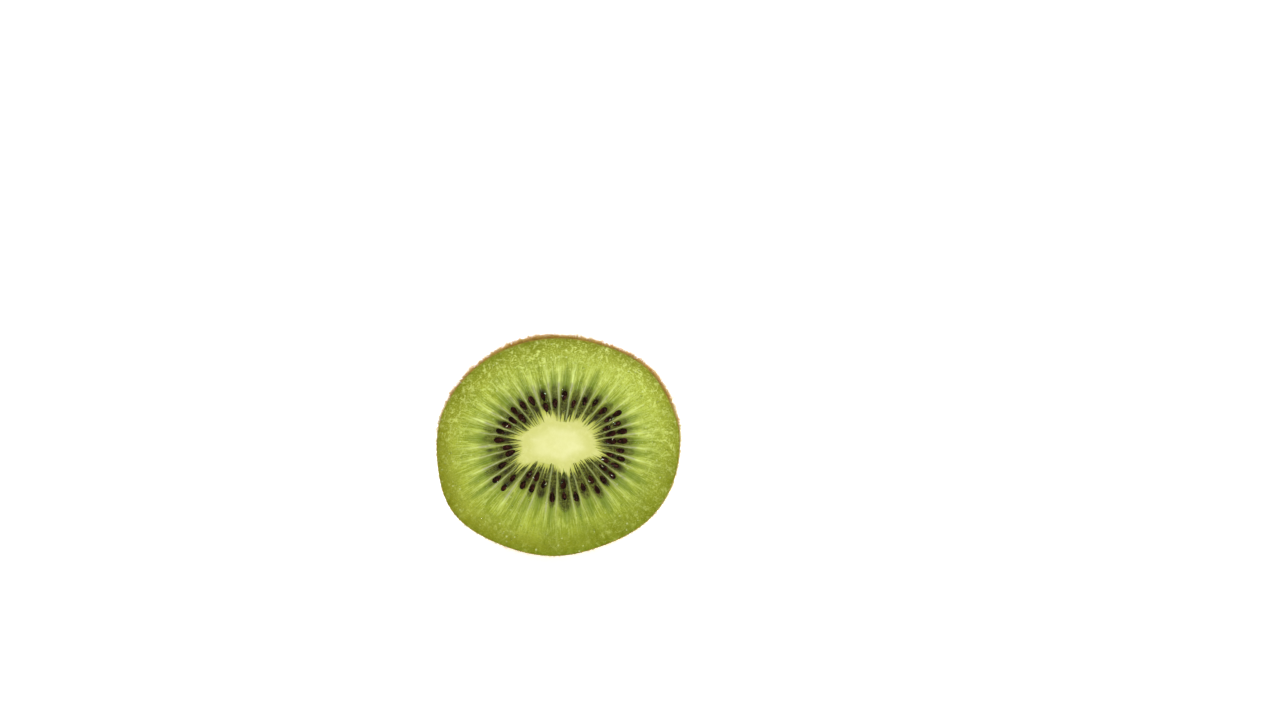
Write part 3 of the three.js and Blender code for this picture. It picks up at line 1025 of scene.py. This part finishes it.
def hair_lines(angle, turn, rng, length, rise, segments, seed):
    """Bent lines, and the direction across each. A hair rises by rise * s - 0.45 * rise * s^2
    and runs along the skin by (0.35 s + 0.65 s^2) times the rest, with a sideways curl that
    grows as s^2. Neighbours run much the same way and stand in tufts, since heading and
    length follow slow noises. A few are much longer. Below, where the fruit is rubbed, they
    are shorter."""
    root, normal, ahead = dome_frame(angle, turn)
    count = len(root)
    heading = COMBING * rough(root, COMBED_PATCH, seed + 50) + rng.normal(0, STRAYING, count)
    run = ahead * np.cos(heading)[:, None] + np.cross(normal, ahead) * np.sin(heading)[:, None]
    across = np.cross(normal, run)
    rubbed = 1 - RUBBED_OFF * smooth(-np.sin(angle), -0.7, 0.3)
    tufts = np.clip(1 + TUFTING * rough(root, TUFT_SIZE, seed + 60), 0.5, 1.7)
    chance = rng.uniform(0, 1, count)
    reach = length * (0.5 + 0.65 * chance + STRAY_LENGTH * chance**10) * tufts * rubbed
    lift = (rise * rng.uniform(0.6, 1.3, count))[:, None, None]
    curl = rng.normal(0, CURLING, count)[:, None, None]
    s = np.linspace(0, 1, segments + 1)[:, None]
    line = root[:, None] + reach[:, None, None] * (
        normal[:, None] * (lift * s - 0.45 * lift * s**2 - 0.03)
        + run[:, None] * (1 - 0.5 * lift) * (0.35 * s + 0.65 * s**2)
        + across[:, None] * curl * s**2
    )
    return laid(line, LYING_CLEARANCE), leaned(across)[:, None]


def hairs(name, count, turns, length, thickness, rise, segments, material, seed, least_below=1.0):
    """One layer of hairs between two turns: three-sided tubes round bent lines, whose thickness
    falls by sqrt(1 - s). Round the lower rim they are painted pale as straw, and round the upper rim
    amber: both are painted light."""
    angle, turn, rng = scattered(count, *np.radians(turns), seed, least_below)
    count = len(angle)
    line, flank = hair_lines(angle, turn, rng, length, rise, segments, seed)
    pace = np.gradient(line, axis=1)
    pace /= np.linalg.norm(pace, axis=-1, keepdims=True) + 1e-9
    upper = np.cross(flank, pace)
    s = np.linspace(0, 1, segments + 1)
    radius = (thickness / 2 * (1 - s) ** 0.5)[:, None, None]
    corner = (np.arange(3) * FULL_TURN / 3)[:, None]
    ring = (
        line[:, :, None]
        + radius * flank[:, :, None] * np.cos(corner)
        + radius * upper[:, :, None] * np.sin(corner)
    )[:, :-1]
    points = np.concatenate([ring.reshape(count, -1, 3), line[:, -1:]], 1)
    points[..., 2] = np.maximum(points[..., 2], LYING_CLEARANCE / 2)
    each = points.shape[1]
    near_rim = smooth(turn, np.radians(76), np.radians(88))
    # Painted light on the fringe: pale straw round the lower rim and amber round the upper rim.
    straw = (0.05 + 0.8 * smooth(-np.sin(angle), -0.6, 0.0)) * near_rim
    painted_light_above = 0.85 * near_rim * smooth(np.sin(angle), -0.2, 0.4)
    fields = {
        "hair_along": np.tile(np.append(np.repeat(s[:-1], 3), 1.0), count),
        "hair_tone": np.repeat(np.maximum(rng.uniform(0, 1, count), painted_light_above), each),
        "hair_painted_light_below": np.repeat(straw, each),
    }
    faces = copied_faces(hair_faces(segments), count, each)
    return put_mesh(name, points.reshape(-1, 3), faces, material, fields)


def hair_faces(segments):
    """Triangles of one hair: the root's end, three sides for each segment, and the tip."""
    ring = np.arange(segments * 3).reshape(segments, 3)
    along = np.roll(ring, -1, axis=1)
    sides = np.stack([ring[:-1], along[:-1], along[1:], ring[1:]], -1).reshape(-1, 4)
    tip = np.stack([ring[-1], along[-1], np.full(3, segments * 3)], -1)
    root = np.array([[0, 2, 1]])
    return [sides, tip, root]


def all_hairs():
    """Four layers on the peel and a tuft round the scar. Their turns are in degrees from the
    stem end to the cut."""
    golden = hair_material("golden_bristle", (190, 146, 66), (252, 222, 152))
    straw = hair_material("straw_bristle", (198, 160, 80), (255, 238, 176))
    downy = hair_material("brown_down", (140, 88, 34), (226, 172, 96))
    brown = hair_material("rim_bristle", (160, 124, 30), (242, 208, 98))
    rusty = hair_material("rusty_tuft", (72, 40, 18), (168, 108, 56))
    hairs("long_hairs", 9000, (6, 90), 1.9, 0.095, 0.95, 4, golden, 11)
    hairs("bristles", 12000, (6, 90), 1.35, 0.085, 0.85, 3, straw, 15)
    hairs("short_down", 12000, (6, 90), 1.0, 0.075, 0.7, 3, downy, 12)
    hairs("rim_fringe", 5000, (85, 90), 1.4, 0.075, 1.1, 4, brown, 13, LEAST_RIM_BELOW)
    hairs("stem_tuft", 900, (2.8, 12), 1.7, 0.09, 1.2, 4, rusty, 14)


# ======== Juice ========

BEAD_COUNT = 360
BEAD_COLUMNS = 10
BEAD_ROWS = 7
BEAD_SMALLEST, BEAD_SPREAD, BEAD_FLATNESS = 0.05, 0.16, 0.6


def juice_beads():
    """Low round drops that stand on the flesh: half ellipsoids closed by their sunk half."""
    rng = np.random.default_rng(21)
    pocket = rng.uniform(0, LOCULES, BEAD_COUNT)
    reach = 0.12 + 0.8 * rng.uniform(0, 1, BEAD_COUNT) ** 1.5
    angle = column_angle(pocket)
    at = face_point(angle, reach)
    at[:, 2] = face_relief(pocket, angle, reach)
    radius = BEAD_SMALLEST + BEAD_SPREAD * rng.uniform(0, 1, BEAD_COUNT) ** 2.2
    up, x, y = unit_ball(BEAD_ROWS, BEAD_COLUMNS)
    one = np.stack([x, y, BEAD_FLATNESS * up], -1)
    points = at[:, None] + one * radius[:, None, None]
    return put_balls("juice_beads", points, BEAD_ROWS, BEAD_COLUMNS, juice_material())


# ======== Torn membrane and painted glints ===

SHRED_COUNT = 44
SHRED_COLUMNS = 10
SHRED_ROWS = 11
SHRED_LENGTHS = (0.16, 0.75)
SHRED_SLIMNESS = 0.26
SHRED_BEND = 0.9


def membrane_material():
    """Wet shreds of the pockets' skin: most dull, and the nearly white ones are painted glints."""
    material, wiring, shader = new_material(
        "membrane_and_painted_glints", Roughness=0.2, IOR=1.4, Subsurface_Weight=0.3,
        Subsurface_Scale=0.2 * MM,
    )
    painted_glint = wiring.attribute("painted_glint")
    # Painted glints: the shreds drawn high get a near-white colour.
    colour = wiring.blend(painted_glint, 0.68, 0.8, (160, 168, 132), (236, 240, 220))
    wiring.fill(shader, Base_Color=colour)
    return material


def membrane_and_painted_glints():
    """Small shreds that stick to seeds and pockets: ellipsoids bent along y = SHRED_BEND *
    x^2 / length, each laid beside a seed at a drawn distance and turn. The nearly white ones are
    painted glints."""
    rng = np.random.default_rng(31)
    seed_at = seed_places()["at"]
    beside = rng.integers(0, len(seed_at), SHRED_COUNT)
    away = rng.normal(0, 0.55, (SHRED_COUNT, 2))
    at = seed_at[beside]
    at[:, :2] += away
    low, high = SHRED_LENGTHS
    length = (low + (high - low) * rng.uniform(0, 1, SHRED_COUNT) ** 4)[:, None]
    at[:, 2] = 0.42 - 0.45 * np.linalg.norm(away, axis=1)
    x, y, z = unit_ball(SHRED_ROWS, SHRED_COLUMNS)
    x = x * length / 2
    y = y * length * SHRED_SLIMNESS / 2 + SHRED_BEND * x**2 / length
    z = z * length * SHRED_SLIMNESS / 2
    x, y = turned(x, y, rng.uniform(0, FULL_TURN, (SHRED_COUNT, 1)))
    points = np.stack([x, y, z], -1) + at[:, None]
    painted_glint = {"painted_glint": np.repeat(rng.uniform(0, 1, SHRED_COUNT), points.shape[1])}
    return put_balls(
        "membrane_and_painted_glints", points, SHRED_ROWS, SHRED_COLUMNS, membrane_material(), painted_glint
    )


# ======== The stem's scar ========

SCAR_COLUMNS = 96
SCAR_ROWS = 26
SCAR_RADIUS = 1.75


def scar_material():
    """Dry wood in two browns that follow its rough grain."""
    material, wiring, shader = new_material("dry_scar", Roughness=0.85)
    place = wiring.object_place()
    grain = wiring.noise(place, 2200, 4.0, 0.7)
    colour = wiring.blend(grain, 0.35, 0.65, (58, 36, 20), (112, 78, 46))
    wiring.fill(shader, Base_Color=colour)
    bumped(wiring, shader, grain, 0.7, 0.12)
    return material


def stem_scar():
    """The woody button: a low cap whose top is cracked along radii and sunk in the middle,
    closed by its underside inside the peel."""
    around = np.arange(SCAR_COLUMNS) * FULL_TURN / SCAR_COLUMNS
    out = np.concatenate([np.linspace(0, 1, SCAR_ROWS), [0.9, 0.0]])
    out, around = np.meshgrid(out, around, indexing="ij")
    radius = SCAR_RADIUS * (1 + 0.05 * np.cos(5 * around + 1) + 0.03 * np.cos(11 * around))
    crack = np.abs(np.sin(6.5 * around + 2 * out)) ** 0.4
    lift = 0.35 * (1 - out**6) - 0.35 * np.exp(-((out / 0.35) ** 2)) - 0.12 * (1 - crack) * out
    under = np.arange(len(out)) >= SCAR_ROWS
    lift[under] = -0.8
    tip = -HALF_LENGTH + STEM_HOLLOW_DEPTH - STEM_BUTTON_HEIGHT
    grid = np.stack([
        radius * out * np.cos(around), -radius * out * np.sin(around), tip - lift,
    ], -1)
    return round_piece("stem_scar", grid, scar_material())


# ======== Floor, lights and camera ========


def floor():
    """A pale board that glows, so that hardly any shadow is left under the half."""
    mesh = bpy.data.meshes.new("floor")
    corners = [(x * FLOOR_HALF, y * FLOOR_HALF, 0) for x, y in ((-1, -1), (1, -1), (1, 1), (-1, 1))]
    mesh.from_pydata(corners, [], [(0, 1, 2, 3)])
    material, wiring, shader = new_material(
        "pale_board", Roughness=0.7, Emission_Color=srgb(255, 255, 255),
        Emission_Strength=FLOOR_GLOW,
    )
    grain = wiring.noise(wiring.object_place(), 60, 2.0, 0.5)
    shade = wiring.blend(grain, 0.3, 0.7, (244, 244, 243), (248, 248, 247))
    wiring.fill(shader, Base_Color=shade)
    mesh.materials.append(material)
    board = bpy.data.objects.new("floor", mesh)
    bpy.context.scene.collection.objects.link(board)


def soft_light(name, place, aim, size, power):
    """A square soft box that looks at a point."""
    data = bpy.data.lights.new(name, "AREA")
    data.shape = "SQUARE"
    data.size = size
    data.energy = power
    lamp = bpy.data.objects.new(name, data)
    lamp.location = place
    lamp.rotation_euler = (Vector(aim) - Vector(place)).to_track_quat("-Z", "Y").to_euler()
    bpy.context.scene.collection.objects.link(lamp)


def surroundings():
    """White walls low down and a soft white ceiling, with a dimmer stretch between them."""
    world = bpy.data.worlds.new("studio")
    world.use_nodes = True
    wiring = Wiring(world.node_tree)
    way = wiring.node("ShaderNodeTexCoord").outputs["Generated"]
    rise = wiring.node("ShaderNodeSeparateXYZ", {0: way}).outputs["Z"]
    walls = wiring.step(rise, 0.2, 0.38, WALL_LIGHT, DIM_LIGHT)
    ceiling = wiring.step(rise, 0.62, 0.78, 0.0, CEILING_LIGHT)
    background = world.node_tree.nodes["Background"]
    strength = wiring.math("ADD", walls, ceiling)
    wiring.fill(background, Color=srgb(255, 255, 255), Strength=strength)
    bpy.context.scene.world = world


def lights(target):
    """A small key light in front and above, and a wide fill on each side."""
    surroundings()
    soft_light("front_key", target + Vector(KEY_OFFSET), target, KEY_SIZE, KEY_POWER)
    aside, forward, up = FILL_OFFSET
    for name, side in (("left_fill", -1), ("right_fill", 1)):
        place = target + Vector((aside * side, forward, up))
        soft_light(name, place, target, FILL_SIZE, FILL_POWER)


def camera(target):
    """A level camera whose frame shows the face at its place and size: it aims past the
    face's middle by the face's own offset from the middle of the frame. Aiming past it turns
    the offset a little too, so it is done in a few rounds."""
    scale_px = FACE_WIDTH_PX / FACE_WIDTH
    focal_px = CAMERA_DISTANCE * scale_px
    offset = np.array([
        FACE_CENTRE_PX[0] - FRAME_WIDTH_PX / 2, FRAME_HEIGHT_PX / 2 - FACE_CENTRE_PX[1],
    ]) / focal_px
    azimuth = np.radians(CAMERA_AZIMUTH)
    elevation = np.radians(REST_TILT + CAMERA_ABOVE_FACE)
    back = Vector((
        np.sin(azimuth) * np.cos(elevation), -np.cos(azimuth) * np.cos(elevation), np.sin(elevation),
    ))
    data = bpy.data.cameras.new("view")
    data.sensor_width = SENSOR_WIDTH
    data.lens = SENSOR_WIDTH * focal_px / FRAME_WIDTH_PX
    data.clip_start, data.clip_end = NEAREST_SEEN, FARTHEST_SEEN
    place = target + back * CAMERA_DISTANCE * MM
    turn = (-back).to_track_quat("-Z", "Y")
    for _ in range(AIMING_ROUNDS):
        right, up = turn @ Vector((1, 0, 0)), turn @ Vector((0, 1, 0))
        depth = (target - place).dot(turn @ Vector((0, 0, -1)))
        aim = target - (right * offset[0] + up * offset[1]) * depth
        turn = (aim - place).to_track_quat("-Z", "Y")
    viewer = bpy.data.objects.new("view", data)
    viewer.location = place
    viewer.rotation_mode = "QUATERNION"
    viewer.rotation_quaternion = turn
    bpy.context.scene.collection.objects.link(viewer)
    bpy.context.scene.camera = viewer


def main():
    """Camera, lights and floor round the middle of the face, and then the half's pieces."""
    face_middle = Vector((laid(np.zeros((1, 3)))[0] * MM).tolist())
    camera(face_middle)
    lights(face_middle)
    floor()
    peel()
    cut_flesh()
    seeds()
    juice_beads()
    membrane_and_painted_glints()
    all_hairs()
    stem_scar()
    bpy.context.scene.view_settings.view_transform = "Standard"


main()
